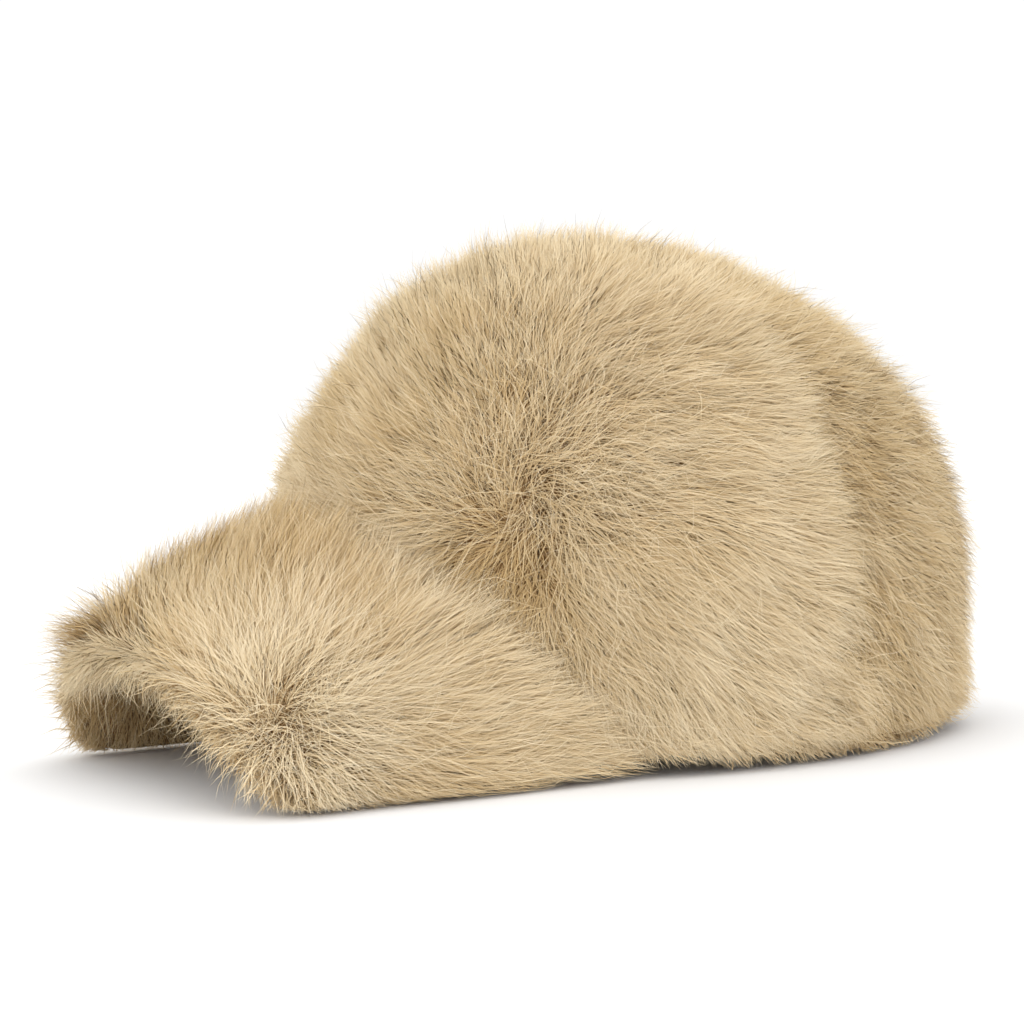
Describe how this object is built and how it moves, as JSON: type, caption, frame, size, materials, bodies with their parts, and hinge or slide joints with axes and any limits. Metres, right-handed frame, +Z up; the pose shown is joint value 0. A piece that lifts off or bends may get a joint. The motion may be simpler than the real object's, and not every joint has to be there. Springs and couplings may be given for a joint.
{
  "type": "plush baseball cap",
  "caption": "Baseball cap of deep tan plush with a hollow panelled crown and a strongly arched, padded brim, lying on its rim.",
  "frame": {"origin": "on the floor, at the middle of the cap's outline seen from above", "axes": "+Z up; the brim points to -Y and the back of the head is at +Y; the wearer's left is +X"},
  "size_m": [0.2061, 0.2861, 0.1568],
  "materials": {
    "front_panel_fur": "long soft pile, matte",
    "side_panel_left_fur": "long soft pile, matte",
    "side_panel_right_fur": "long soft pile, matte",
    "back_panel_left_fur": "long soft pile, matte",
    "back_panel_right_fur": "long soft pile, matte",
    "brim_fur": "long soft pile, matte"
  },
  "bodies": {
    "root": {"front_panel": "front_panel_fur", "side_panel_left": "side_panel_left_fur", "side_panel_right": "side_panel_right_fur", "back_panel_left": "back_panel_left_fur", "back_panel_right": "back_panel_right_fur", "brim": "brim_fur"}
  },
  "joints": []
}
